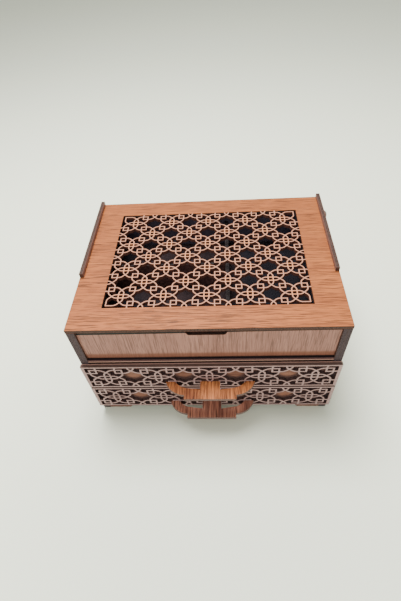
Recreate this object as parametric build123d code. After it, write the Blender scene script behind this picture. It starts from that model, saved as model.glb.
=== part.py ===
from build123d import *
import os

os.makedirs("parts", exist_ok=True)

# A jewellery box of veneered boards. A lid with an openwork panel turns on two wooden pegs
# near the back, and two drawers with openwork fronts slide out below the lidded compartment.
# Millimetres, X to the right, Y to the back, Z up. The origin is on the ground, in the middle
# of the outline seen from above, with the drawer handles counted in.

# Boards and fits
sheet = 4.0              # thickness of every board
lining = 1.5             # thickness of the velvet pads
slot_play = 0.1          # play of a tab or a tenon in its slot
moving_gap = 0.3         # air between faces that move past each other
peg_play = 0.06          # radial play of a hinge peg in its hole

# Outline
box_width = 262.0        # over the lid
lid_depth = 193.0        # front edge to back edge
lid_height = 153.2       # ground to the lid's top face
foot_height = 12.2       # ground to the underside of the base
foot_width = 24.0        # feet of the front and back boards
side_foot = 30.0         # feet of the side boards
arch_rise = 7.5          # height of the gaps between the feet

# Lid cheeks, the strips that carry the hinge pegs and stand up beside the lid
cheek_start = 68.6       # from the lid's front edge
cheek_rise = 4.6         # above the lid
cheek_drop = 8.0         # below the lid's top face
cheek_clearance = 0.8    # air between a cheek and the side board in front of and below it
tab_count = 5            # lid tabs in each cheek
tab_share = 0.5          # part of each division that is tab
slot_headroom = 0.4      # slot height over the lid's top face
lobe_radius = 9.0        # round end of the cheek about the peg

# Hinge
pivot_from_back = 21.3   # peg axis to the lid's back edge
pivot_drop = 10.8        # peg axis below the lid's top face
wall_tail = 5.5          # carcass behind the peg axis
peg_radius = 2.8
peg_head_radius = 5.2
peg_head_length = 6.3
peg_head_bevel = 1.5

# Lid panel
lid_side_border = 30.3
lid_front_border = 26.5
lid_back_border = 24.1
lid_columns = 9
lid_rows = 7
lid_strand = 1.7

# Compartment
panel_inset = 2.5        # front panel behind the side boards' front edges
notch_width = 35.0       # finger notch, at its bottom
notch_depth = 8.7        # below the panel's top edge
notch_slope = 4.4        # how far each end of the notch leans out
notch_round = 2.5
long_divider_x = 18.7    # left face of the divider that runs front to back
cross_divider_y = 100.0  # front face of the divider that runs left to right
divider_drop = 11.7      # top of the dividers below the top of the walls

# Drawers
drawer_front_height = 41.0
front_overhang = 0.5     # drawer fronts past the lid on each side
front_gap = 2.0          # between the two drawer fronts
front_lift = 0.5         # lower front above the underside of the base
floor_reveal = 2.2       # compartment floor above the upper drawer front
shelf_setback = 0.3      # shelves behind the side boards' front edges
drawer_side_gap = 0.5    # air beside a drawer box
drawer_back_gap = 1.5    # air behind a drawer box
front_side_border = 3.3
front_rail = 2.4
front_columns = 9
front_strand = 1.9

# Handles, flat plates that stand out of the drawer fronts
handle_reach = 20.3      # drawer front to the handle's front edge
handle_drop = 9.8        # top of the plate below the middle of the drawer front
stem_width = 20.8
block_width = 54.0
block_side = 4.8         # height of the step beside the block
gap_depth = 9.5          # finger gap at the stem
gap_end = 7.2            # finger gap where its edge starts to curve back
gap_bend = 27.0          # half width at that point
tip_inner = 36.9         # half widths of the wing tips
tip_outer = 46.9
inner_bow = 1.1          # how far the wings' edges bow outwards
outer_bow = 4.0
seat_rim = 1.6           # plain rim round the handle's slot in the openwork

# Openwork: one knot of two crossed loops in every other cell, in shares of the cell
loop_half = 0.115        # half width of a loop
loop_tip = 0.43          # where a loop's strands cross and go on into the petals
petal_bend = 0.20        # where a petal's slanted strand turns square
petal_reach = 0.63       # corner of a petal
edge_share = 0.79        # window edge past the outer cell centres

# Places worked out from the sizes above
half_width = box_width / 2
front_half = half_width + front_overhang
handle_front = moving_gap + sheet + handle_reach
front = (handle_front - lid_depth) / 2
lid_back = front + lid_depth
lid_under = lid_height - sheet
wall_top = lid_under - moving_gap
pivot_y = lid_back - pivot_from_back
pivot_z = lid_height - pivot_drop
wall_back = pivot_y + wall_tail
cheek_face = half_width - sheet
inner_outer_x = cheek_face - moving_gap
inner_x = inner_outer_x - sheet
cheek_front = front + cheek_start
cheek_top = lid_height + cheek_rise
cheek_bottom = lid_height - cheek_drop
base_top = foot_height + sheet
lower_front_z = foot_height + front_lift
upper_front_z = lower_front_z + drawer_front_height + front_gap
shelf_z = upper_front_z - front_gap / 2 - sheet / 2
floor_z = upper_front_z + drawer_front_height + floor_reveal
floor_top = floor_z + sheet
back_inside = wall_back - sheet
panel_back = front + panel_inset + sheet
fascia_y = front - moving_gap - sheet
drawer_back_y = back_inside - drawer_back_gap


# Helpers

def block(x, y, z):
    """A plain board between low and high values along each axis."""
    size = Box(x[1] - x[0], y[1] - y[0], z[1] - z[0], align=(Align.MIN, Align.MIN, Align.MIN))
    return Pos(x[0], y[0], z[0]) * size


def area(u, v):
    """A flat rectangle between low and high values."""
    return Pos((u[0] + u[1]) / 2, (v[0] + v[1]) / 2) * Rectangle(u[1] - u[0], v[1] - v[0])


def side_board(outline, x):
    """A board in the YZ plane, from x to x plus its thickness."""
    return extrude(Plane.YZ.offset(x) * outline, amount=sheet)


def front_board(outline, y):
    """A board in the XZ plane, from y to y plus its thickness."""
    return extrude(Plane.XZ.offset(-(y + sheet)) * outline, amount=sheet)


def flat_board(outline, z):
    """A level board, from z to z plus its thickness."""
    return extrude(Plane.XY.offset(z) * outline, amount=sheet)


def arch(low, high):
    """The gap under a board's lower edge, between two feet."""
    return make_face(Polyline((low, 0), (low + arch_rise, arch_rise),
                              (high - arch_rise, arch_rise), (high, 0), close=True))


def save(name, piece):
    export_step(piece, "parts/" + name + ".step")


def save_pair(name, piece):
    """Writes a right-hand piece and its mirror image."""
    save("right_" + name, piece)
    save("left_" + name, mirror(piece, about=Plane.YZ))


# Openwork panels

def turned(points, turns):
    """Points turned by quarter turns about the middle of a cell."""
    for _ in range(turns):
        points = [(-y, x) for x, y in points]
    return points


def petal_ring():
    """The hole in a petal, with the corner of the next knot's petal reaching into it."""
    k = 1 - petal_reach
    return [(loop_half, loop_half), (0, loop_tip), (k, petal_reach), (k, k), (petal_reach, k), (loop_tip, 0)]


def leaf_ring():
    """The hole in a corner petal, which stands alone."""
    return [(loop_half, loop_half), (0, loop_tip), (petal_bend, petal_reach),
            (petal_reach, petal_reach), (petal_reach, petal_bend), (loop_tip, 0)]


def corner_ring():
    """The space outside a corner petal. Its last three points lie past the window."""
    k = 1 - petal_reach
    return [(-k, petal_reach), (-petal_bend, petal_reach), (0, loop_tip), (petal_bend, petal_reach),
            (petal_reach, petal_reach), (petal_reach, petal_bend), (loop_tip, 0),
            (petal_reach, -petal_bend), (petal_reach, -k), (2, -k), (2, 2), (-k, 2)]


def loop_ring():
    """The four-pointed hole inside a knot's loops."""
    return [point for turn in range(4) for point in turned([(loop_half, loop_half), (0, loop_tip)], turn)]


def gap_ring():
    """The space between four knots."""
    tip = 1 - loop_tip
    return [(tip, 0), (0, tip), (-tip, 0), (0, -tip)]


def square_ring():
    """The small square where two petals overlap, at a corner of a cell."""
    k = 1 - petal_reach
    return [(k, k), (petal_reach, k), (petal_reach, petal_reach), (k, petal_reach)]


def cell_rings(columns, rows, full):
    """Every hole's ring, with its cell. The cells run one past the window on each side.
    A full pattern also has the part knots at the window's edge, and its corners are cut back."""
    corners = [(columns, rows), (1, rows), (1, 1), (columns, 1)] if full else []
    rings = []
    for i in range(columns + 2):
        for j in range(rows + 2):
            outside = (i in (0, columns + 1)) + (j in (0, rows + 1))
            beside_corner = any(abs(i - u) + abs(j - v) == 1 for u, v in corners)
            petals = [turned(petal_ring(), turn) for turn in range(4)]
            if (i + j) % 2:
                found = [] if outside and beside_corner else [gap_ring()]
            elif (i, j) in corners:
                turn = corners.index((i, j))
                petals[turn] = turned(leaf_ring(), turn)
                found = petals + [loop_ring(), turned(corner_ring(), turn)]
            elif outside:
                found = petals if full and outside == 1 else []
            else:
                found = petals + [loop_ring()]
            rings += [(i, j, ring) for ring in found]
    squares = [(i, j) for i in range(columns + 1) for j in range(rows + 1)]
    bare = [(i, j) for i in (0, columns) for j in (0, rows)] if full else []
    return rings + [(i, j, square_ring()) for i, j in squares if (i, j) not in bare]


def openwork(width, height, columns, rows, strand, full):
    """The holes of a panel, as faces about the middle of its window."""
    pitch = (width / (columns - 1 + 2 * edge_share), height / (rows - 1 + 2 * edge_share))
    window = Rectangle(width, height)
    made = {}
    holes = []
    for i, j, ring in cell_rings(columns, rows, full):
        shape = tuple(ring)
        if shape not in made:
            corners = [(x * pitch[0], y * pitch[1]) for x, y in ring]
            outline = make_face(Polyline(*corners, close=True))
            made[shape] = offset(outline, -strand / 2, kind=Kind.INTERSECTION)
        x = (i - (columns + 1) / 2) * pitch[0]
        y = (j - (rows + 1) / 2) * pitch[1]
        hole = Pos(x, y) * made[shape]
        if i in (0, 1, columns, columns + 1) or j in (0, 1, rows, rows + 1):
            hole = hole & window
        holes += hole.faces() if hole else []
    return holes


def pierced(outline, holes):
    """A flat face with holes."""
    return Face(outline.faces()[0].outer_wire(), [hole.outer_wire() for hole in holes])


# Carcass

def inner_side():
    outline = area((front, wall_back), (0, wall_top))
    corner = area((pivot_y, wall_back), (pivot_z, wall_top))
    corner -= Pos(pivot_y, pivot_z) * Circle(wall_top - pivot_z)
    outline -= corner
    outline -= Pos(pivot_y, pivot_z) * Circle(peg_radius + peg_play)
    outline -= arch(front + side_foot, wall_back - side_foot)
    return side_board(outline, inner_x)


def outer_side():
    outline = area((front, wall_back), (0, wall_top))
    outline -= area((cheek_front - cheek_clearance, wall_back), (cheek_bottom - cheek_clearance, wall_top))
    outline -= Pos(pivot_y, pivot_z) * Circle(lobe_radius + cheek_clearance)
    outline -= arch(front + side_foot, wall_back - side_foot)
    return side_board(outline, inner_outer_x)


def front_panel():
    outline = area((-inner_x, inner_x), (floor_top, wall_top))
    low = notch_width / 2
    bottom = wall_top - notch_depth
    notch = make_face(Polyline((-low, bottom), (low, bottom), (low + notch_slope, wall_top),
                               (-low - notch_slope, wall_top), close=True))
    notch = fillet(notch.vertices().group_by(Axis.Y)[0], notch_round)
    return front_board(outline - notch, front + panel_inset)


def back_panel():
    lid_swing = wall_top - pivot_z
    top = pivot_z + (lid_swing ** 2 - wall_tail ** 2) ** 0.5 - slot_play
    outline = area((-inner_x, inner_x), (0, top))
    outline -= arch(foot_width - inner_x, inner_x - foot_width)
    return front_board(outline, back_inside)


def front_plinth():
    outline = area((-inner_x, inner_x), (0, foot_height))
    outline -= arch(foot_width - inner_x, inner_x - foot_width)
    return front_board(outline, front + shelf_setback)


def shelf(z, setback):
    return flat_board(area((-inner_x, inner_x), (front + setback, back_inside)), z)


def make_carcass():
    save_pair("inner_side", inner_side())
    save_pair("outer_side", outer_side())
    save("front_panel", front_panel())
    save("back_panel", back_panel())
    save("front_plinth", front_plinth())
    save("base_board", shelf(foot_height, shelf_setback))
    save("middle_shelf", shelf(shelf_z, 2 * shelf_setback))
    save("compartment_floor", shelf(floor_z, shelf_setback))


def make_compartment():
    divider_z = (floor_top, wall_top - divider_drop)
    long_x = (long_divider_x, long_divider_x + sheet)
    cross_y = (front + cross_divider_y, front + cross_divider_y + sheet)
    save("long_divider", block(long_x, (panel_back, back_inside), divider_z))
    save("cross_divider", block((-inner_x, long_x[0]), cross_y, divider_z))
    pad_z = (floor_top, floor_top + lining)
    save("front_left_pad", block((-inner_x, long_x[0]), (panel_back, cross_y[0]), pad_z))
    save("rear_left_pad", block((-inner_x, long_x[0]), (cross_y[1], back_inside), pad_z))
    save("right_pad", block((long_x[1], inner_x), (panel_back, back_inside), pad_z))


# Lid

def tab_spans():
    """Where the lid's tabs lie, front to back."""
    division = (lid_back - cheek_front) / tab_count
    half = division * tab_share / 2
    middles = [cheek_front + division * (n + 0.5) for n in range(tab_count)]
    return [(middle - half, middle + half) for middle in middles]


def lid_panel():
    outline = area((-half_width, half_width), (front, cheek_front))
    outline += area((-cheek_face, cheek_face), (cheek_front, lid_back))
    for span in tab_spans():
        outline += area((-half_width, half_width), span)
    width = box_width - 2 * lid_side_border
    depth = lid_depth - lid_front_border - lid_back_border
    middle = Pos(0, (front + lid_front_border + lid_back - lid_back_border) / 2)
    holes = [middle * hole for hole in openwork(width, depth, lid_columns, lid_rows, lid_strand, True)]
    return flat_board(pierced(outline, holes), lid_under)


def lid_cheek():
    outline = area((cheek_front, pivot_y), (cheek_bottom, cheek_top))
    outline += area((pivot_y, lid_back), (lid_under, cheek_top))
    outline += Pos(pivot_y, pivot_z) * Circle(lobe_radius)
    outline -= Pos(pivot_y, pivot_z) * Circle(peg_radius + peg_play)
    for low, high in tab_spans():
        outline -= area((low - slot_play, high + slot_play), (lid_under, lid_height + slot_headroom))
    return side_board(outline, cheek_face)


def hinge_peg():
    """A turned peg: a shank through the cheek and the side, and a bevelled head outside."""
    shank_start = inner_x + moving_gap
    shank = Cylinder(peg_radius, half_width - shank_start, align=(Align.CENTER, Align.CENTER, Align.MIN))
    head = Cylinder(peg_head_radius, peg_head_length, align=(Align.CENTER, Align.CENTER, Align.MIN))
    head = chamfer(head.edges().group_by(Axis.Z)[-1], peg_head_bevel)
    peg = shank + Pos(0, 0, half_width - shank_start) * head
    return Pos(shank_start, pivot_y, pivot_z) * Rot(0, 90, 0) * peg


def make_lid():
    save("lid_panel", lid_panel())
    save_pair("lid_cheek", lid_cheek())
    peg = hinge_peg()
    save("hinge_pegs", Compound([peg, mirror(peg, about=Plane.YZ)]))


# Drawers

def handle_plate():
    """Outline of a handle, with the drawer front's face at zero and the reach along minus Y."""
    stem = stem_width / 2
    block_half = block_width / 2
    edge = Polyline((0, 2 * sheet), (stem, 2 * sheet), (stem, -gap_depth), (gap_bend, -gap_end))
    edge += SagittaArc((gap_bend, -gap_end), (tip_inner, 0), -inner_bow)
    edge += Line((tip_inner, 0), (tip_outer, 0))
    edge += SagittaArc((tip_outer, 0), (block_half, block_side - handle_reach), outer_bow)
    edge += Line((block_half, block_side - handle_reach), (block_half, -handle_reach))
    edge += Polyline((block_half, -handle_reach), (0, -handle_reach), (0, 2 * sheet))
    half = make_face(edge)
    return half + mirror(half, about=Plane.YZ)


def drawer_lattice(low, slot):
    middle = low + drawer_front_height / 2
    seat = (-stem_width / 2 - seat_rim, stem_width / 2 + seat_rim)
    rim = area(seat, (slot[0] - seat_rim - middle, slot[1] + seat_rim - middle))
    width = 2 * front_half - 2 * front_side_border
    height = drawer_front_height - 2 * front_rail
    holes = []
    for hole in openwork(width, height, front_columns, 1, front_strand, False):
        near = abs(hole.center().X) < stem_width and hole.center().Y < 0
        holes += (hole - rim).faces() if near else [hole]
    outline = area((-front_half, front_half), (-drawer_front_height / 2, drawer_front_height / 2))
    return front_board(Pos(0, middle) * pierced(outline, holes), fascia_y)


def make_drawer(name, runner, ceiling, front_z):
    """A drawer box on its runner, its openwork front and its handle."""
    half = inner_x - drawer_side_gap
    bottom = runner + moving_gap
    top = min(ceiling - moving_gap, front_z + drawer_front_height)
    board_y = fascia_y + sheet
    inside = (board_y + sheet, drawer_back_y - sheet)
    plate_top = front_z + drawer_front_height / 2 - handle_drop
    slot = (plate_top - sheet - slot_play, plate_top + slot_play)
    slot_x = (-stem_width / 2 - slot_play, stem_width / 2 + slot_play)
    cutter = block(slot_x, (fascia_y, inside[0]), slot)
    save(name + "_lattice", drawer_lattice(front_z, slot) - cutter)
    save(name + "_front", block((-half, half), (board_y, inside[0]), (bottom, top)) - cutter)
    side_y = (inside[0], drawer_back_y)
    save(name + "_right_side", block((half - sheet, half), side_y, (bottom, top)))
    save(name + "_left_side", block((-half, sheet - half), side_y, (bottom, top)))
    across = (sheet - half, half - sheet)
    save(name + "_back", block(across, (inside[1], drawer_back_y), (bottom, top)))
    save(name + "_bottom", block(across, inside, (bottom, bottom + sheet)))
    save(name + "_pad", block(across, inside, (bottom + sheet, bottom + sheet + lining)))
    handle = Pos(0, fascia_y, plate_top - sheet) * extrude(handle_plate(), amount=sheet)
    save(name + "_handle", handle)


make_carcass()
make_compartment()
make_lid()
make_drawer("lower_drawer", base_top, shelf_z, lower_front_z)
make_drawer("upper_drawer", shelf_z + sheet, floor_z, upper_front_z)
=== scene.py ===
import math

import bmesh
import bpy
import numpy as np
from mathutils import Matrix, Vector


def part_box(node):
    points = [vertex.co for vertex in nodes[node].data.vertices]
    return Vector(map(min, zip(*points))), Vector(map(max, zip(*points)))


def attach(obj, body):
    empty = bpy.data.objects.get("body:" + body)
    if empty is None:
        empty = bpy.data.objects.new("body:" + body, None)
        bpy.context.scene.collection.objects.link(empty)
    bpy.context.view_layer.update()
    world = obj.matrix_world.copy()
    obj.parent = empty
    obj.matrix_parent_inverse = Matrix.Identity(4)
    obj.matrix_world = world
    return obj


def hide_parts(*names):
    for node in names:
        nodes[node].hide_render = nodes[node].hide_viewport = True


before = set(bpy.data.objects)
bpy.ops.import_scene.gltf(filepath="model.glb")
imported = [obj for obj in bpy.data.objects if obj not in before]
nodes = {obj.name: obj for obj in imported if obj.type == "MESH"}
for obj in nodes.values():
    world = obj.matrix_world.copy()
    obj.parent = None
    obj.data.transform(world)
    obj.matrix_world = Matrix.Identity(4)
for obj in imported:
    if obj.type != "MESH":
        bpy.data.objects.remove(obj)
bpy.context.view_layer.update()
print("frame loaded with", len(nodes), "nodes")

lidLow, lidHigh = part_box("lid_panel")
sheet = lidHigh[2] - lidLow[2]     # thickness of every board
samePoint = 1e-6                   # points nearer than this are one point


# Materials

class Value:
    # A material's socket. Arithmetic on it adds Math nodes, with a plain number on either side.
    def __init__(self, finish, socket):
        self.finish = finish
        self.socket = socket

    def __add__(self, other):
        return self.finish.maths("ADD", self, other)

    def __radd__(self, other):
        return self.finish.maths("ADD", other, self)

    def __sub__(self, other):
        return self.finish.maths("SUBTRACT", self, other)

    def __rsub__(self, other):
        return self.finish.maths("SUBTRACT", other, self)

    def __mul__(self, other):
        return self.finish.maths("MULTIPLY", self, other)

    def __rmul__(self, other):
        return self.finish.maths("MULTIPLY", other, self)

    def __truediv__(self, other):
        return self.finish.maths("DIVIDE", self, other)

    def __rtruediv__(self, other):
        return self.finish.maths("DIVIDE", other, self)

    def __pow__(self, other):
        return self.finish.maths("POWER", self, other)

    def __rpow__(self, other):
        return self.finish.maths("POWER", other, self)

    def __lt__(self, other):
        return self.finish.maths("LESS_THAN", self, other)

    def __gt__(self, other):
        return self.finish.maths("GREATER_THAN", self, other)

    def __abs__(self):
        return self.finish.maths("ABSOLUTE", self)


faceLimits = (0.45, 0.55)      # how far a normal leans along an axis where a face starts to look that way


class Finish:
    # One material: its Principled shader, one method that adds any other node, and short ways to
    # the nodes that are used most.
    def __init__(self, name, **fixed):
        self.material = bpy.data.materials.new(name)
        self.material.use_nodes = True
        self.tree = self.material.node_tree
        self.shader = self.tree.nodes["Principled BSDF"]
        for socket, value in fixed.items():
            self.shader.inputs[socket.replace("_", " ")].default_value = value
        self.coordinate = self.node("TexCoord", output=3)

    def put(self, socket, value):
        if isinstance(value, Value):
            self.tree.links.new(value.socket, socket)
        else:
            socket.default_value = value

    def node(self, kind, settings=None, sockets=None, output=0):
        made = self.tree.nodes.new("ShaderNode" + kind)
        for key, value in (settings or {}).items():
            setattr(made, key, value)
        for key, value in (sockets or {}).items():
            self.put(made.inputs[key], value)
        return Value(self, made.outputs[output])

    def maths(self, operation, *values):
        return self.node("Math", {"operation": operation}, dict(enumerate(values)))

    def mix(self, factor, first, second):
        return self.node("Mix", {"data_type": "RGBA"}, {0: factor, 6: first, 7: second}, 2)

    def step(self, value, low, high):
        # changes smoothly from 0 at low to 1 at high, also where low is the larger
        return self.node("MapRange", {"interpolation_type": "SMOOTHSTEP"}, {0: value, 1: low, 2: high})

    def noise(self, space, scale, detail, roughness=0.5):
        sockets = {"Vector": space, "Scale": scale, "Detail": detail, "Roughness": roughness}
        return self.node("TexNoise", {}, sockets)

    def part(self, vector, axis):
        return self.node("SeparateXYZ", {}, {0: vector}, "XYZ".index(axis))

    def at(self, axis):
        # the place along an axis, in metres
        return self.part(self.coordinate, axis)

    def facing(self, axis, side=0):
        # 1 on the faces that look along the axis (side 1), against it (-1) or either way (0)
        along = self.part(self.node("TexCoord", output=1), axis)
        if side == 0:
            return self.step(abs(along), *faceLimits)
        return self.step(along, side * faceLimits[0], side * faceLimits[1])

    def stretched(self, grain, stretch, shift):
        # the pattern's own space, in which the grain axis is squeezed, so that it comes out long
        scale = [1.0 / stretch if axis == grain else 1.0 for axis in "XYZ"]
        return self.node("Mapping", {}, {"Vector": self.coordinate, "Location": shift, "Scale": scale})

    def surface(self, colour, roughness, height, depth):
        # height is a pattern from 0 to 1, and depth is how deep it goes, in metres
        bump = self.node("Bump", {}, {"Height": height, "Distance": depth, "Strength": 1.0})
        self.put(self.shader.inputs["Base Color"], colour)
        self.put(self.shader.inputs["Roughness"], roughness)
        self.put(self.shader.inputs["Normal"], bump)
        return self.material


def paint(red, green, blue):
    # a screen colour, 0 to 255, as the linear colour that a shader takes
    part = np.array([red, green, blue]) / 255
    linear = np.where(part > 0.04045, ((part + 0.055) / 1.055) ** 2.4, part / 12.92)
    return (*linear, 1.0)


def shade(colour, share):
    return paint(*[part * share for part in colour])


veneer = {
    "specular": 0.14,
    "seedShift": (0.37, 0.61, 0.23),   # how far one board's pattern lies from the next one's
    "stretch": 30.0,           # fibres and pores are this much longer than wide
    "grainRoughness": 0.6,     # share of each finer layer in a noise
    "streaks": (0.0018, 4.0),  # width of a light or dark streak, and its detail
    "bands": (0.024, 2.0),     # slow changes of tone
    "toneLimits": (0.34, 0.66),   # noise values of the light and of the dark tone
    "pores": (0.0008, 1.0),
    "poreLimits": (0.55, 0.63),
    "finePores": (0.0005, 1.0),
    "finePoreLimits": (0.52, 0.66),
    "finePoreShare": 0.6,
    "poreShade": 0.5,          # a pore's tone as a share of the dark tone
    "poreDepth": 0.00006,
    "char": (0.0012, 3.0),     # mottling of a burnt edge
    "charLimits": (0.3, 0.7),
    "charShades": (1.15, 0.7),
    "charRelief": 0.3,
    "threadWidth": 0.0005,     # bright outer veneer seen in a burnt edge
    "threadShare": 0.35,
    "roughness": 0.40,         # streaks and edges are rougher by the next two
    "streakRoughness": 0.14,
    "edgeRoughness": 0.25,
}

woodTones = {
    "lid": {"light": (172, 101, 54), "dark": (146, 81, 44), "pores": 0.90, "burnt": (80, 58, 51)},
    "panel": {"light": (172, 125, 111), "dark": (146, 103, 91), "pores": 0.50, "burnt": (60, 44, 38)},
    "fascia": {"light": (184, 151, 148), "dark": (156, 124, 122), "pores": 0.20, "burnt": (80, 60, 58)},
    "carcass": {"light": (140, 90, 70), "dark": (100, 64, 50), "pores": 0.40, "burnt": (74, 61, 64)},
    # the inner sides' face tones are the carcass wood darkened as painted shade
    "innerSideInShade": {"light": (96, 66, 56), "dark": (72, 50, 44), "pores": 0.40, "burnt": (74, 61, 64)},
    # the floor board's face tones are painted shade of the ledge under the lid; its burnt edge is the edge's
    # own colour
    "floorBoardInShade": {"light": (44, 34, 38), "dark": (32, 26, 30), "pores": 0.30, "burnt": (84, 56, 56)},
    "drawer": {"light": (184, 130, 102), "dark": (136, 90, 70), "pores": 0.45, "burnt": (74, 58, 52)},
    "drawerFront": {"light": (160, 110, 90), "dark": (118, 78, 64), "pores": 0.45, "burnt": (60, 44, 40)},
    "cheek": {"light": (142, 108, 98), "dark": (114, 84, 76), "pores": 0.40, "burnt": (66, 50, 44)},
    "upperHandle": {"light": (236, 148, 90), "dark": (132, 73, 48), "pores": 0.85, "burnt": (112, 92, 86)},
    # the lower handle's tones are darker than the upper's as painted shade under the upper handle and the box
    "lowerHandle": {"light": (200, 136, 112), "dark": (110, 69, 60), "pores": 0.80, "burnt": (116, 96, 90)},
}

rim = {
    "radius": 0.0005,          # burnt rim on the face along every cut edge of the openwork
    "samples": 6,
    "limits": (0.985, 0.86),   # dot product where the rim starts, and where it is darkest
    "share": 0.8,
    "tone": (70, 44, 34),
}


class Veneer(Finish):
    # A veneered board: fibres and pores along the grain axis on the faces that look along the
    # face axis, and laser-burnt edges all round. middle is the board's middle on the face axis.
    def __init__(self, name, toneName, grain, face, middle, seed):
        super().__init__(name, Specular_IOR_Level=veneer["specular"])
        tone = woodTones[toneName]
        fibre = self.stretched(grain, veneer["stretch"], [seed * part for part in veneer["seedShift"]])
        self.streaks = self.grainNoise(fibre, *veneer["streaks"])
        bands = self.grainNoise(fibre, *veneer["bands"])
        pores = self.step(self.grainNoise(fibre, *veneer["pores"]), *veneer["poreLimits"])
        finePores = self.step(self.grainNoise(fibre, *veneer["finePores"]), *veneer["finePoreLimits"])
        depth = self.step((self.streaks + bands) * 0.5, *veneer["toneLimits"])
        wood = self.mix(depth, paint(*tone["light"]), paint(*tone["dark"]))
        self.flecks = self.maths("MAXIMUM", pores, finePores * veneer["finePoreShare"])
        self.face = self.mix(self.flecks * tone["pores"], wood, shade(tone["dark"], veneer["poreShade"]))
        # the burnt edge: mottled char, and a thread of veneer at each arris
        self.char = self.grainNoise(self.coordinate, *veneer["char"])
        pale, black = [shade(tone["burnt"], share) for share in veneer["charShades"]]
        burnt = self.mix(self.step(self.char, *veneer["charLimits"]), pale, black)
        self.fromMiddle = abs(self.at(face) - middle)
        thread = self.step(self.fromMiddle, sheet / 2 - veneer["threadWidth"], sheet / 2)
        self.edge = self.mix(thread * veneer["threadShare"], burnt, paint(*tone["dark"]))
        self.onFace = self.facing(face)

    def grainNoise(self, space, size, detail):
        return self.noise(space, 1 / size, detail, veneer["grainRoughness"])

    # these lay a tone over the faces or edges: real burns and stains, and also painted light and shade
    def stainOrShadeFace(self, share, tone):
        self.face = self.mix(share, self.face, paint(*tone))

    def stainOrShadeEdge(self, share, tone):
        self.edge = self.mix(share, self.edge, paint(*tone))

    def scorched(self):
        # The cut edges of an openwork board are burnt a little way in on the face too. Near an edge
        # the rounded normal leaves the true one, so their dot product falls below 1.
        rounded = self.node("Bevel", {"samples": rim["samples"]}, {"Radius": rim["radius"]})
        true = self.node("NewGeometry", output=1)
        turn = self.node("VectorMath", {"operation": "DOT_PRODUCT"}, {0: rounded, 1: true}, 1)
        self.stainOrShadeFace(self.step(turn, *rim["limits"]) * rim["share"], rim["tone"])

    def closed(self):
        colour = self.mix(self.onFace, self.edge, self.face)
        roughness = veneer["roughness"] + veneer["streakRoughness"] * self.streaks
        roughness = roughness + (1 - self.onFace) * veneer["edgeRoughness"]
        height = self.char * veneer["charRelief"] - self.flecks * self.onFace
        return self.surface(colour, roughness, height, veneer["poreDepth"])


# Stains and painted light and shade of the carcass

frontPanel = {
    "footShadeFade": (0.0006, 0.0018),     # heights where the painted shade at the foot starts to fade and is gone
    "footShadeShare": 0.95,
    "footShadeTone": (54, 38, 36),
    "bounceLightFade": (0.00686, 0.01176),   # the same for the painted warm bounce light above it, with an uneven top
    "bounceLightUneven": 0.003,
    "bounceLightShare": 0.8,
    "bounceLightTone": (112, 64, 46),
    "lidShadowLeft": 0.0064,         # the painted shadow line under the lid is wider on the left
    "lidShadowRight": 0.0044,
    "lidShadowFade": 0.0008,
    "lidShadowTone": (9, 6, 6),
}


def shadeAndLightPanel(board, low, high):
    # painted shade along the front panel's foot, a painted warm bounce light above it, and a painted shadow
    # line under the lid
    height = board.at("Z")
    # painted warm light, bounced up from the compartment floor onto the panel's lower part
    warm = 1 - board.step(height - low[2] + board.streaks * frontPanel["bounceLightUneven"], *frontPanel["bounceLightFade"])
    board.stainOrShadeFace(warm * frontPanel["bounceLightShare"], frontPanel["bounceLightTone"])
    # painted shade at the panel's foot, where it meets the compartment floor
    foot = 1 - board.step(height - low[2], *frontPanel["footShadeFade"])
    board.stainOrShadeFace(foot * frontPanel["footShadeShare"], frontPanel["footShadeTone"])
    # painted shadow line along the panel's top, under the lid
    share = board.step(board.at("X"), low[0], high[0])
    width = frontPanel["lidShadowLeft"] + share * (frontPanel["lidShadowRight"] - frontPanel["lidShadowLeft"])
    line = board.step(width - (high[2] - height), 0.0, frontPanel["lidShadowFade"])
    board.stainOrShadeFace(line, frontPanel["lidShadowTone"])


backPanel = {
    # lighter than the real dark fabric: painted light
    "liningWithPaintedLightTone": (106, 102, 120),
    "liningFade": 0.0005,
}


def lineInside(board, floorTop):
    # fabric lining on the back wall's inner face, above the compartment floor, painted lighter than the dark
    # fabric as painted light where the compartment lies in shade
    above = board.step(board.at("Z"), floorTop - backPanel["liningFade"], floorTop)
    board.stainOrShadeFace(board.facing("Y", -1) * above, backPanel["liningWithPaintedLightTone"])


compartmentFloor = {
    "layerHeight": 0.0013,     # pale layer at the bottom of the floor's edge
    "layerShare": 0.8,
    "layerTone": (196, 152, 136),
}


def paleLayer(board, bottom):
    line = board.at("Z") - bottom < compartmentFloor["layerHeight"]
    board.stainOrShadeEdge(line * compartmentFloor["layerShare"], compartmentFloor["layerTone"])


# Tones of the lid

lid = {
    "sideBorder": 0.0303,
    "frontBorder": 0.0265,
    "backBorder": 0.0241,
    "columns": 9,
    "rows": 7,
    "strand": 0.00125,         # narrower than the solid's 0.0017, without its burnt edges
    "cheekStart": 0.0686,      # from the front edge
    "tabs": 5,
    "tabShare": 0.5,           # part of each division that is tab
    "seed": 0.3,
    "backShare": 0.3,          # the veneer is a little darker towards the back
    "backTone": (120, 66, 38),
    "underShare": 0.5,         # and greyer underneath
    "underTone": (176, 126, 100),
    "strandShare": 0.8,
    "strandTone": (180, 130, 106),
    "knotLimits": (-0.70, -0.95),   # warmer wood in the middle of each knot
    "knotShare": 0.6,
    "knotTone": (206, 132, 84),
    "wallShare": 0.9,          # burnt walls of the openings
    "wallTone": (92, 56, 47),
}
windowFront, windowBack = lidLow[1] + lid["frontBorder"], lidHigh[1] - lid["backBorder"]
windowHalf = (lidHigh[0] - lid["sideBorder"], (windowBack - windowFront) / 2)
windowMiddle = np.array([0, (windowFront + windowBack) / 2])


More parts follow.
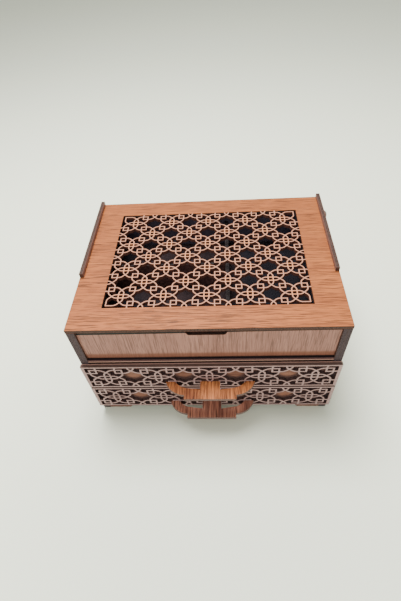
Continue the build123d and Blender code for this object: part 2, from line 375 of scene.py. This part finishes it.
def toneLid(board, pitch):
    # Inside the window the strands are paler than the border, and the walls are burnt darker. The
    # product cos(pi x / pitch) cos(pi y / pitch) is -1 in the middle of a knot and 1 in a star's.
    along = board.at("Y")
    inside = (abs(board.at("X")) < windowHalf[0]) * ((along > windowFront) * (along < windowBack))
    board.stainOrShadeFace(board.step(along, windowFront, windowBack) * lid["backShare"], lid["backTone"])
    board.stainOrShadeFace(board.facing("Z", -1) * lid["underShare"], lid["underTone"])
    board.stainOrShadeFace(inside * lid["strandShare"], lid["strandTone"])
    wave = board.maths("COSINE", board.at("X") * (math.pi / pitch[0]))
    wave = wave * board.maths("COSINE", (along - windowMiddle[1]) * (math.pi / pitch[1]))
    board.stainOrShadeFace(inside * board.step(wave, *lid["knotLimits"]) * lid["knotShare"], lid["knotTone"])
    board.stainOrShadeEdge(inside * lid["wallShare"], lid["wallTone"])


cheek = {
    "tabShadowHeight": 0.0016,      # painted shadow in the slots' headroom just above the lid's tabs
    "tabShadowShare": 0.85,
    "arrisFade": (0.0011, 0.0005),   # dark arrises, from this far inside the faces
    "arrisShare": 0.5,
    "frontShare": 0.6,         # painted shade on the front end
    "tone": (92, 58, 48),
}


def burnAndShadeCheek(board, low):
    # the tabs stand in the middle of equal divisions, so that the fraction of the place is near 0.5 there
    arris = board.step(board.fromMiddle, *[sheet / 2 - depth for depth in cheek["arrisFade"]])
    # burnt arrises, and painted shade on the cheek's front end
    dark = board.maths("MAXIMUM", arris * cheek["arrisShare"], board.facing("Y", -1) * cheek["frontShare"])
    board.stainOrShadeEdge(dark, cheek["tone"])
    along = (board.at("Y") - low[1]) * (lid["tabs"] / (lidHigh[1] - low[1]))
    tab = abs(board.maths("FRACT", along) - 0.5) < lid["tabShare"] / 2
    # painted shadow in the slot just above each tab
    above = board.at("Z") - lidHigh[2] < cheek["tabShadowHeight"]
    board.stainOrShadeFace(tab * above * cheek["tabShadowShare"], cheek["tone"])


# Tones of the drawers

fascia = {
    "sideBorder": 0.0033,
    "rail": 0.0024,
    "columns": 9,
    "strand": 0.0019,
    "stemWidth": 0.0208,
    "seatRim": 0.0016,
    "slotPlay": 0.0001,
    "seeds": {"upper": 5.1, "lower": 7.7},
    "scorchFade": (0.00078, 0.00042),   # scorched line along the long edges, from its inside
    "scorchShare": 0.75,
    "railDepth": 0.0002,       # the top and bottom edges lie less than this inside the outline
    "railTone": (96, 74, 68),
    "railShades": (1.1, 0.8),
    "backFade": (0.0011, 0.0007),   # the veneer along the back shows as a light line
    "backTone": (180, 138, 126),
}

backing = {
    "starFade": (0.0065, 0.0105),   # keeps its own tone this near to a star's middle, and is darkest this far from it
    "starLean": 0.35,          # the lighter part sits a little higher than the star
    "starShare": 0.8,
    "stemFade": 0.0004,
    "stemShare": 0.9,
    "tone": (82, 62, 60),
}


def scorchEdges(board, low, high):
    # The laser's scorched line runs along the long edges of a drawer front. Its top and bottom edges
    # are less burnt than the openings.
    half = (high[2] - low[2]) / 2
    fromMiddle = abs(board.at("Z") - (low[2] + high[2]) / 2)
    line = board.step(fromMiddle, *[half - depth for depth in fascia["scorchFade"]])
    board.stainOrShadeFace(line * fascia["scorchShare"], woodTones["fascia"]["burnt"])
    back = board.step(board.at("Y"), *[high[1] - depth for depth in fascia["backFade"]])
    pale, dark = [shade(fascia["railTone"], share) for share in fascia["railShades"]]
    rail = board.mix(back, board.mix(board.char, pale, dark), paint(*fascia["backTone"]))
    board.edge = board.mix(fromMiddle > half - fascia["railDepth"], board.edge, rail)


def shadeBacking(board, low, high, pitch):
    # The board behind a drawer front's openwork keeps its tone behind each star and is darker elsewhere. The
    # stars stand at the odd multiples of the pitch, so that x / (2 pitch) has the fraction 0.5 there.
    along = (board.maths("FRACT", board.at("X") / (2 * pitch)) - 0.5) * (2 * pitch)
    up = board.at("Z") - (low[2] + high[2]) / 2
    distance = (along ** 2.0 + up ** 2.0) ** 0.5
    far = board.step(distance - up * backing["starLean"], *backing["starFade"])
    board.stainOrShadeFace(far * backing["starShare"], backing["tone"])


def shadeStem(board, face):
    # the part of a handle's stem that runs through the drawer front is painted dark as painted shade
    behind = board.step(board.at("Y"), face, face + backing["stemFade"])
    board.stainOrShadeFace(behind * backing["stemShare"], backing["tone"])


# Openwork pattern

knot = {
    "loopHalf": 0.115,         # half width of a loop, in shares of a cell
    "loopBend": 0.300,         # where a loop starts to close
    "loopTip": 0.43,           # where its strands cross
    "petalBend": 0.20,
    "petalReach": 0.63,
    "loopRound": 0.10,         # rounding of a loop, and of a petal's shoulder
    "petalRound": 0.12,
    "roundPoints": 6,          # points along each rounding
    "edgeShare": 0.79,         # window edge past the outer cells' middles
    "beyond": 2,               # well outside the window
}


def cellPitch(half, columns, rows):
    # a window of that half width and half height ends edgeShare of a cell past its outer cells' middles
    return 2 * np.array(half) / (np.array([columns, rows]) - 1 + 2 * knot["edgeShare"])


def turned(ring, turns):
    # quarter turns of a ring about the middle of its cell: (x, y) becomes (-y, x)
    for _ in range(turns % 4):
        ring = ring[:, [1, 0, 2]] * (-1, 1, 1)
    return ring


def knotRings():
    # Rings of strand centre lines as rows of x, y and rounding, in cells from the middle of a knot or
    # star. The four openings round a knot, and a star's sides, are quarter turns of one another.
    a, b, tip = knot["loopHalf"], knot["loopBend"], knot["loopTip"]
    bend, reach, k = knot["petalBend"], knot["petalReach"], 1 - knot["petalReach"]
    lr, pr, far = knot["loopRound"], knot["petalRound"], knot["beyond"]
    petal = [(a, a, 0), (a, b, lr), (0, tip, 0), (bend, reach, pr), (k, reach, 0), (k, k, 0),
             (reach, k, 0), (reach, bend, pr), (tip, 0, 0), (b, a, lr)]
    leaf = petal[:4] + [(reach, reach, 0)] + petal[7:]
    outside = [(-k, reach, 0), (-bend, reach, pr), (0, tip, 0), (bend, reach, pr), (reach, reach, 0),
               (reach, bend, pr), (tip, 0, 0), (reach, -bend, pr), (reach, -k, 0), (far, -k, 0),
               (far, far, 0), (-k, far, 0)]
    loopEnd = [(a, a, 0), (a, b, lr), (0, tip, 0), (-a, b, lr), (-a, a, 0)]
    middle = [(a, a, 0), (-a, a, 0), (-a, -a, 0), (a, -a, 0)]
    quarter = np.array([(1 - tip, 0, 0), (k, bend, pr), (k, k, 0), (bend, k, pr)], float)
    star = np.concatenate([turned(quarter, turn) for turn in range(4)])
    square = [(k, k, 0), (reach, k, 0), (reach, reach, 0), (k, reach, 0)]
    rings = {"petal": petal, "leaf": leaf, "outside": outside, "loopEnd": loopEnd, "middle": middle,
             "star": star, "square": square}
    return {name: np.array(ring, float) for name, ring in rings.items()}


def roundRing(ring, pitch):
    # A corner P with a rounding becomes the curve (1-t)^2 A + 2t(1-t) P + t^2 B, from a point A
    # before it to a point B after it.
    corner = ring[:, :2] * pitch
    cut = ring[:, 2:3] * pitch.mean()
    before = np.roll(corner, 1, 0) - corner
    after = np.roll(corner, -1, 0) - corner
    start = corner + before / np.linalg.norm(before, axis=1, keepdims=True) * cut
    end = corner + after / np.linalg.norm(after, axis=1, keepdims=True) * cut
    t = np.linspace(0, 1, knot["roundPoints"])[None, :, None]
    curve = (1 - t) ** 2 * start[:, None] + 2 * t * (1 - t) * corner[:, None] + t ** 2 * end[:, None]
    points = curve.reshape(-1, 2)
    return points[np.linalg.norm(points - np.roll(points, 1, 0), axis=1) > samePoint]


def insetRing(points, distance):
    # every edge moves inwards by the distance, and a corner goes to where its two edges then meet
    following = np.roll(points, -1, 0)
    area = (points[:, 0] * following[:, 1] - points[:, 1] * following[:, 0]).sum()
    if area < 0:
        points = points[::-1]
        following = np.roll(points, -1, 0)
    edge = following - points
    edge = edge / np.linalg.norm(edge, axis=1, keepdims=True)
    inward = np.column_stack([-edge[:, 1], edge[:, 0]])
    previous = np.roll(inward, 1, 0)
    shift = (inward + previous) / (1 + (inward * previous).sum(1))[:, None]
    return points + shift * distance


def clipRing(points, half):
    # keeps what lies in a window of that half width and half height
    for axis in (0, 1):
        for side in (1, -1):
            if not len(points):
                return points
            depth = half[axis] - side * points[:, axis]
            following = np.roll(depth, -1)
            share = depth / np.where(depth == following, 1, depth - following)
            crossing = points + share[:, None] * (np.roll(points, -1, 0) - points)
            keep = np.column_stack([depth > 0, (depth > 0) != (following > 0)])
            points = np.stack([points, crossing], 1)[keep]
    return points


def openwork(half, columns, rows, strand, cutCorners):
    # The openings of a panel, about the middle of its window. Knots and stars take turns over the
    # cells, which run one past the window on each side.
    pitch = cellPitch(half, columns, rows)
    rings = knotRings()
    shapes = {}

    def shape(name, turns=0):
        if (name, turns) not in shapes:
            shapes[name, turns] = insetRing(roundRing(turned(rings[name], turns), pitch), strand / 2)
        return shapes[name, turns]

    corners = [(columns, rows), (1, rows), (1, 1), (columns, 1)] if cutCorners else []
    holes = []
    for i in range(columns + 2):
        for j in range(rows + 2):
            outside = (i in (0, columns + 1)) + (j in (0, rows + 1))
            besideCorner = any(abs(i - u) + abs(j - v) == 1 for u, v in corners)
            found = []
            if (i + j) % 2:
                found += [shape("star")] * (not (outside and besideCorner))
            elif not (cutCorners and outside == 2):
                turn = corners.index((i, j)) if (i, j) in corners else None
                found += [shape("leaf" if n == turn else "petal", n) for n in range(4)]
                found += [shape("loopEnd", n) for n in range(4)] + [shape("middle")]
                found += [shape("outside", n) for n in range(4) if n == turn]
            bare = cutCorners and i in (0, columns) and j in (0, rows)
            found += [shape("square")] * (i <= columns and j <= rows and not bare)
            place = (np.array([i, j]) - (np.array([columns, rows]) + 1) / 2) * pitch
            holes += [clipRing(ring + place, half) for ring in found]
    return [hole for hole in holes if len(hole) > 2]


def fasciaHalf(low, high):
    # half the width and half the height of a drawer front's window
    return (high[0] - low[0]) / 2 - fascia["sideBorder"], (high[2] - low[2]) / 2 - fascia["rail"]


# Plain boards

# each board's tone, grain axis and face axis
boards = {
    "right_inner_side": ("innerSideInShade", "Z", "X"),
    "left_inner_side": ("innerSideInShade", "Z", "X"),
    "right_outer_side": ("carcass", "Z", "X"),
    "left_outer_side": ("carcass", "Z", "X"),
    "front_panel": ("panel", "Z", "Y"),
    "back_panel": ("carcass", "Z", "Y"),
    "front_plinth": ("carcass", "X", "Y"),
    "base_board": ("carcass", "X", "Z"),
    "middle_shelf": ("carcass", "X", "Z"),
    "compartment_floor": ("floorBoardInShade", "X", "Z"),
    "right_lid_cheek": ("cheek", "Y", "X"),
    "left_lid_cheek": ("cheek", "Y", "X"),
}
for level in ("upper", "lower"):
    boards[level + "_drawer_front"] = ("drawerFront", "X", "Y")
    boards[level + "_drawer_right_side"] = ("drawer", "Y", "X")
    boards[level + "_drawer_left_side"] = ("drawer", "Y", "X")
    boards[level + "_drawer_back"] = ("drawer", "X", "Y")
    boards[level + "_drawer_bottom"] = ("drawer", "X", "Z")
    boards[level + "_drawer_handle"] = (level + "Handle", "Y", "Z")


def boardMiddle(node, axis):
    low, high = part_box(node)
    index = "XYZ".index(axis)
    return (low[index] + high[index]) / 2


def stainAndShade(board, node):
    # what a board shows besides its veneer
    low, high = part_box(node)
    floorLow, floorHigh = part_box("compartment_floor")
    if node == "front_panel":
        shadeAndLightPanel(board, low, high)
    elif node == "back_panel":
        lineInside(board, floorHigh[2])
    elif node == "compartment_floor":
        paleLayer(board, floorLow[2])
    elif node.endswith("cheek"):
        burnAndShadeCheek(board, low)
    elif node.endswith("drawer_front"):
        latticeLow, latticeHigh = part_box(node.replace("front", "lattice"))
        pitch = cellPitch(fasciaHalf(latticeLow, latticeHigh), fascia["columns"], 1)
        shadeBacking(board, latticeLow, latticeHigh, pitch[0])
    elif node.endswith("handle"):
        latticeLow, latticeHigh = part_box(node.replace("handle", "lattice"))
        shadeStem(board, latticeLow[1])


def dress(node, material):
    shape = nodes[node]
    shape.data.materials.clear()
    shape.data.materials.append(material)


for count, (node, (toneName, grain, face)) in enumerate(boards.items()):
    board = Veneer(node, toneName, grain, face, boardMiddle(node, face), 1.0 + count)
    stainAndShade(board, node)
    dress(node, board.closed())
print("boards finished:", len(boards))


# Pegs and dividers

peg = {
    "light": (122, 98, 82),
    "dark": (88, 68, 56),
    "specular": 0.4,
    "stretch": 12.0,
    "shift": (0.1, 0.2, 0.3),
    "grain": (900.0, 3.0),     # scale and detail
    "grainLimits": (0.35, 0.65),
    "roughness": 0.5,
    "grainRoughness": 0.15,
    "depth": 0.00005,
}


def turnedWood(name):
    # plain close-grained wood, with the grain along the peg
    finish = Finish(name, Specular_IOR_Level=peg["specular"])
    streaks = finish.noise(finish.stretched("X", peg["stretch"], peg["shift"]), *peg["grain"])
    colour = finish.mix(finish.step(streaks, *peg["grainLimits"]), paint(*peg["light"]), paint(*peg["dark"]))
    return finish.surface(colour, peg["roughness"] + peg["grainRoughness"] * streaks, streaks, peg["depth"])


divider = {
    # the face tones are lighter than the wood: painted light
    "litFaceTones": ((126, 92, 88), (98, 70, 68)),
    "topTones": ((42, 32, 32), (30, 24, 25)),
    "specular": 0.3,
    "grain": (320.0, 4.0),     # scale and detail
    "grainLimits": (0.35, 0.65),
    "roughness": 0.7,
    "grainRoughness": 0.1,
    "depth": 0.00005,
}


def stainedWood(name):
    # red-brown faces, painted lighter as painted light where they lie in the compartment's shade, under a
    # darker top edge
    finish = Finish(name, Specular_IOR_Level=divider["specular"])
    streaks = finish.noise(finish.coordinate, *divider["grain"])
    streak = finish.step(streaks, *divider["grainLimits"])
    face, top = [finish.mix(streak, *[paint(*tone) for tone in divider[tones]])
                 for tones in ("litFaceTones", "topTones")]
    colour = finish.mix(finish.facing("Z", 1), face, top)
    roughness = divider["roughness"] + divider["grainRoughness"] * streaks
    return finish.surface(colour, roughness, streaks, divider["depth"])


dress("hinge_pegs", turnedWood("hinge_pegs"))
for node in ("long_divider", "cross_divider"):
    dress(node, stainedWood(node))
print("pegs and dividers finished")


# Openwork boards

def boardMesh(name, outline, holes, thickness, place):
    # a flat board with holes, filled by a curve and then set upright or level by place
    curve = bpy.data.curves.new(name, "CURVE")
    curve.dimensions = "2D"
    curve.fill_mode = "BOTH"
    curve.extrude = thickness / 2
    for ring in [outline] + holes:
        spline = curve.splines.new("POLY")
        spline.points.add(len(ring) - 1)
        rows = np.column_stack([ring, np.zeros(len(ring)), np.ones(len(ring))])
        spline.points.foreach_set("co", rows.astype(np.float32).ravel())
        spline.use_cyclic_u = True
    pattern = bpy.data.objects.new(name + "Pattern", curve)
    bpy.context.scene.collection.objects.link(pattern)
    bpy.context.view_layer.update()
    mesh = bpy.data.meshes.new_from_object(pattern.evaluated_get(bpy.context.evaluated_depsgraph_get()))
    bpy.data.objects.remove(pattern)
    mesh.transform(place)
    return mesh


def closedMesh(mesh):
    # merges doubles and turns every face outwards
    shell = bmesh.new()
    shell.from_mesh(mesh)
    bmesh.ops.remove_doubles(shell, verts=shell.verts, dist=samePoint)
    bmesh.ops.recalc_face_normals(shell, faces=shell.faces)
    for facet in shell.faces:
        facet.smooth = False
    shell.to_mesh(mesh)
    shell.free()
    return mesh


def addPiece(name, mesh, body, node, material):
    piece = bpy.data.objects.new(name, mesh)
    bpy.context.scene.collection.objects.link(piece)
    mesh.materials.clear()
    mesh.materials.append(material)
    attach(piece, body)
    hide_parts(node)
    return piece


def lidOutline(low, high):
    # the plate is full width to the cheeks, then narrower by a cheek on each side but at the tabs
    cheekFront = low[1] + lid["cheekStart"]
    division = (high[1] - cheekFront) / lid["tabs"]
    middles = cheekFront + division * (np.arange(lid["tabs"]) + 0.5)
    half = division * lid["tabShare"] / 2
    steps = np.concatenate([[cheekFront], np.column_stack([middles - half, middles + half]).ravel()])
    inner, outer = high[0] - sheet, high[0]
    x = np.tile([outer, inner, inner, outer], len(steps))[:2 * len(steps)]
    right = np.column_stack([x, np.repeat(steps, 2)])
    right = np.concatenate([[[outer, low[1]]], right, [[inner, high[1]]]])
    return np.concatenate([right, right[::-1] * (-1, 1)])


lidMiddle = boardMiddle("lid_panel", "Z")
lidHoles = openwork(windowHalf, lid["columns"], lid["rows"], lid["strand"], True)
lidMesh = boardMesh("lidOpenwork", lidOutline(lidLow, lidHigh), [ring + windowMiddle for ring in lidHoles],
                    sheet, Matrix.Translation((0, 0, lidMiddle)))
lidVeneer = Veneer("lidVeneer", "lid", "X", "Z", lidMiddle, lid["seed"])
toneLid(lidVeneer, cellPitch(windowHalf, lid["columns"], lid["rows"]))
lidVeneer.scorched()
addPiece("lidOpenwork", closedMesh(lidMesh), "lid", "lid_panel", lidVeneer.closed())
print("lid openings:", len(lidHoles))


def blockMesh(name, low, high):
    # a box between two corners, one face for each side
    corner = np.array([[x, y, z] for x in (low[0], high[0]) for y in (low[1], high[1])
                       for z in (low[2], high[2])])
    faces = [(0, 1, 3, 2), (4, 6, 7, 5), (0, 4, 5, 1), (2, 3, 7, 6), (0, 2, 6, 4), (1, 5, 7, 3)]
    mesh = bpy.data.meshes.new(name)
    mesh.from_pydata(corner.tolist(), [], faces)
    return mesh


def carved(mesh, operation, tool):
    # mesh with the tool's solid added or taken away
    both = [bpy.data.objects.new(part.name, part) for part in (mesh, tool)]
    for part in both:
        bpy.context.scene.collection.objects.link(part)
    cut = both[0].modifiers.new("cut", "BOOLEAN")
    cut.operation = operation
    cut.solver = "EXACT"
    cut.object = both[1]
    bpy.context.view_layer.update()
    result = bpy.data.meshes.new_from_object(both[0].evaluated_get(bpy.context.evaluated_depsgraph_get()))
    for part in both:
        bpy.data.objects.remove(part)
    return result


def fasciaMesh(name, low, high, handleLow, handleHigh):
    # a drawer front's openwork, with a seat and a slot for the handle's stem
    holes = openwork(fasciaHalf(low, high), fascia["columns"], 1, fascia["strand"], False)
    x, z = (high[0] - low[0]) / 2, (high[2] - low[2]) / 2
    outline = np.array([(x, z), (-x, z), (-x, -z), (x, -z)])
    middle = Vector((0, (low[1] + high[1]) / 2, (low[2] + high[2]) / 2))
    upright = Matrix.Translation(middle) @ Matrix.Rotation(math.pi / 2, 4, "X")
    mesh = closedMesh(boardMesh(name, outline, holes, high[1] - low[1], upright))
    stem = fascia["stemWidth"] / 2
    border, play = fascia["seatRim"], fascia["slotPlay"]
    seat = blockMesh(name + "Seat", (-stem - border, low[1], handleLow[2] - border),
                     (stem + border, high[1], handleHigh[2] + border))
    slot = blockMesh(name + "Slot", (-stem - play, low[1] - sheet, handleLow[2] - play),
                     (stem + play, high[1] + sheet, handleHigh[2] + play))
    return carved(carved(mesh, "UNION", seat), "DIFFERENCE", slot)


for level, seed in fascia["seeds"].items():
    node = level + "_drawer_lattice"
    low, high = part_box(node)
    mesh = fasciaMesh(level + "Openwork", low, high, *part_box(level + "_drawer_handle"))
    board = Veneer(node + "Veneer", "fascia", "X", "Y", boardMiddle(node, "Y"), seed)
    scorchEdges(board, low, high)
    board.scorched()
    addPiece(level + "Openwork", mesh, level + "_drawer", node, board.closed())
    print(level, "drawer openwork:", len(mesh.polygons), "faces")


# Velvet pads

pile = {
    "roughness": 0.95,
    "specular": 0.15,
    "sheen": 0.35,
    "sheenRoughness": 0.4,
    "sheenTint": (0.42, 0.40, 0.46, 1.0),
    "patches": (38.0, 3.0, 0.6),   # scale, detail and roughness
    "patchLimits": (0.35, 0.65),
    "patchRoughness": (0.9, 0.1),   # least, and what the patches add
    "brown": ((42, 31, 32), (58, 44, 45)),
    "blue": ((25, 23, 28), (34, 32, 39)),
    "blueFrom": -0.025,        # the pile looks bluer from 35 to 75 mm beside this place
    "blueLimits": (0.035, 0.075),
    "nap": (2600.0, 2.0),      # scale and detail
    "napShare": 0.5,
    "napTone": (15, 14, 19),
    "napDepth": 0.0003,
}

pad = {
    "across": 60,              # grid steps along each side
    "edge": 0.0035,            # width of the rolled edge
    "edgeHeight": 0.25,        # height of the cushion's outermost edge, as a share
    "wave": 0.00018,           # height of the slow unevenness
    "waves": (41, 53, 97, 71),   # and how fast it changes, in radians per metre
    "margin": 0.0002,          # air to the walls
}


def velvet(name):
    # short dark pile: broad brushed patches, a fine nap and a soft sheen at grazing angles
    finish = Finish(name, Roughness=pile["roughness"], Specular_IOR_Level=pile["specular"],
                    Sheen_Weight=pile["sheen"], Sheen_Roughness=pile["sheenRoughness"],
                    Sheen_Tint=pile["sheenTint"])
    patches = finish.noise(finish.coordinate, *pile["patches"])
    patch = finish.step(patches, *pile["patchLimits"])
    nap = finish.noise(finish.coordinate, *pile["nap"])
    brown, blue = [finish.mix(patch, *[paint(*tone) for tone in pile[kind]]) for kind in ("brown", "blue")]
    aside = finish.step(abs(finish.at("X") - pile["blueFrom"]), *pile["blueLimits"])
    colour = finish.mix(nap * pile["napShare"], finish.mix(aside, brown, blue), paint(*pile["napTone"]))
    least, more = pile["patchRoughness"]
    return finish.surface(colour, least + more * patches, nap, pile["napDepth"])


def padMesh(name, low, high, seed):
    # The top is a grid of height low + (high - low) * f, where f falls from 1 to edgeHeight along a
    # quarter circle near the edge, less a slow wave. The underside is a flat copy of the grid.
    steps = pad["across"] + 1
    u, v = np.meshgrid(np.linspace(-1, 1, steps), np.linspace(-1, 1, steps), indexing="ij")
    u, v = [np.sin(w * math.pi / 2) for w in (u, v)]
    halfX, halfY = [(high[n] - low[n]) / 2 - pad["margin"] for n in (0, 1)]
    x, y = u * halfX, v * halfY
    inset = np.minimum(halfX - abs(x), halfY - abs(y)) / pad["edge"]
    roll = np.sqrt(1 - (1 - np.clip(inset, 0, 1)) ** 2)
    a, b, c, d = pad["waves"]
    wave = np.sin(x * a + seed) * np.sin(y * b + 2 * seed) + np.sin(x * c - y * d + seed)
    rise = pad["edgeHeight"] + (1 - pad["edgeHeight"]) * roll
    top = low[2] + (high[2] - low[2]) * rise - pad["wave"] * (1 + wave / 2) * roll
    middle = ((low[0] + high[0]) / 2, (low[1] + high[1]) / 2)
    grids = [np.stack([x + middle[0], y + middle[1], z], -1).reshape(-1, 3)
             for z in (top, np.full_like(top, low[2]))]
    index = np.arange(steps * steps).reshape(steps, steps)
    quads = np.stack([index[:-1, :-1], index[1:, :-1], index[1:, 1:], index[:-1, 1:]], -1).reshape(-1, 4)
    border = np.concatenate([index[:-1, 0], index[-1, :-1], index[:0:-1, -1], index[0, :0:-1]])
    after = np.roll(border, -1)
    under = steps * steps
    sides = np.column_stack([border + under, after + under, after, border])
    faces = np.concatenate([quads, quads[:, ::-1] + under, sides])
    mesh = bpy.data.meshes.new(name)
    mesh.from_pydata(np.concatenate(grids).tolist(), [], faces.tolist())
    mesh.polygons.foreach_set("use_smooth", np.ones(len(faces), bool))
    return mesh


velvetFinish = velvet("velvet")
pads = {"front_left_pad": "carcass", "rear_left_pad": "carcass", "right_pad": "carcass",
        "upper_drawer_pad": "upper_drawer", "lower_drawer_pad": "lower_drawer"}
for count, (node, body) in enumerate(pads.items()):
    cushion = addPiece(node + "Velvet", padMesh(node + "Velvet", *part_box(node), count + 1.0), body, node,
                       velvetFinish)
print("pads:", len(pads))


# Floor, light and camera

studio = {
    "floorSize": 6.0,
    "floorRoughness": 0.6,
    "floorTone": (244, 248, 226),
    "nearShadowTone": (227, 231, 211),   # painted shadow on the paper round the front of the box
    "nearShadowPlace": (0.0, -0.12),
    "nearShadowReach": (0.08, 0.34),
    "farShadeTone": (218, 222, 203),    # and painted fall-off of the light far behind it
    "farShadeReach": (0.3, 1.3),
    "world": (240, 242, 234),
    "worldStrength": 0.80,
    "keyPlace": (-0.18, 0.30, 1.36),
    "keySize": 0.7,
    "keyPower": 45.0,
    "fillPlace": (-0.40, -1.30, 1.10),
    "fillSize": 1.4,
    "fillPower": 9.0,
}


def paperFinish():
    # the paper's tone darkens with the distance sqrt((x - a)^2 + (y - b)^2) from a place (a, b) in front of
    # the box, as a painted shadow, and with y far behind it, as a painted fall-off of the light
    paper = Finish("floorPaper", Roughness=studio["floorRoughness"])
    across, along = [paper.at(axis) - place for axis, place in zip("XY", studio["nearShadowPlace"])]
    distance = (across * across + along * along) ** 0.5
    # painted shadow of the box on the paper
    near = 1 - paper.step(distance, *studio["nearShadowReach"])
    # painted fall-off of the light far behind the box
    far = paper.step(along, *studio["farShadeReach"])
    tone = paper.mix(near, paint(*studio["floorTone"]), paint(*studio["nearShadowTone"]))
    paper.put(paper.shader.inputs["Base Color"], paper.mix(far, tone, paint(*studio["farShadeTone"])))
    return paper.material


def buildStudio():
    half = studio["floorSize"] / 2
    mesh = bpy.data.meshes.new("floor")
    corners = [(-half, -half, 0), (half, -half, 0), (half, half, 0), (-half, half, 0)]
    mesh.from_pydata(corners, [], [(0, 1, 2, 3)])
    floor = bpy.data.objects.new("floor", mesh)
    bpy.context.scene.collection.objects.link(floor)
    mesh.materials.append(paperFinish())
    world = bpy.data.worlds.new("studio")
    world.use_nodes = True
    background = world.node_tree.nodes["Background"]
    background.inputs["Color"].default_value = paint(*studio["world"])
    background.inputs["Strength"].default_value = studio["worldStrength"]
    bpy.context.scene.world = world
    for name in ("key", "fill"):
        light = bpy.data.lights.new(name, "AREA")
        light.shape = "DISK"
        light.size = studio[name + "Size"]
        light.energy = studio[name + "Power"]
        lamp = bpy.data.objects.new(name, light)
        lamp.location = studio[name + "Place"]
        lamp.rotation_euler = (-Vector(studio[name + "Place"])).to_track_quat("-Z", "Y").to_euler()
        bpy.context.scene.collection.objects.link(lamp)


view = {
    "imageWidth": 401,         # the photograph's frame, in pixels
    "focalPixels": 403.5,
    "sensorWidth": 36.0,       # in millimetres
    "nearest": 0.01,
    "fromLid": (0.0203, -0.2179, 0.2900),   # from the middle of the lid's top front edge
    "turns": (-0.71441, -0.06720, 0.02182),  # the box's turns about X, Y and Z before the camera
}


def placeCamera():
    # The camera sees the box turned by Rz Ry Rx, so its own turn is the inverse of that.
    turns = [Matrix.Rotation(angle, 3, axis) for angle, axis in zip(view["turns"], "XYZ")]
    seen = turns[2] @ turns[1] @ turns[0]
    lens = bpy.data.cameras.new("camera")
    lens.sensor_fit = "HORIZONTAL"
    lens.sensor_width = view["sensorWidth"]
    lens.lens = view["focalPixels"] / view["imageWidth"] * lens.sensor_width
    lens.clip_start = view["nearest"]
    camera = bpy.data.objects.new("camera", lens)
    place = Vector((0, lidLow[1], lidHigh[2])) + Vector(view["fromLid"])
    camera.matrix_world = Matrix.Translation(place) @ seen.inverted().to_4x4()
    bpy.context.scene.collection.objects.link(camera)
    bpy.context.scene.camera = camera


buildStudio()
placeCamera()
print("studio and camera set")
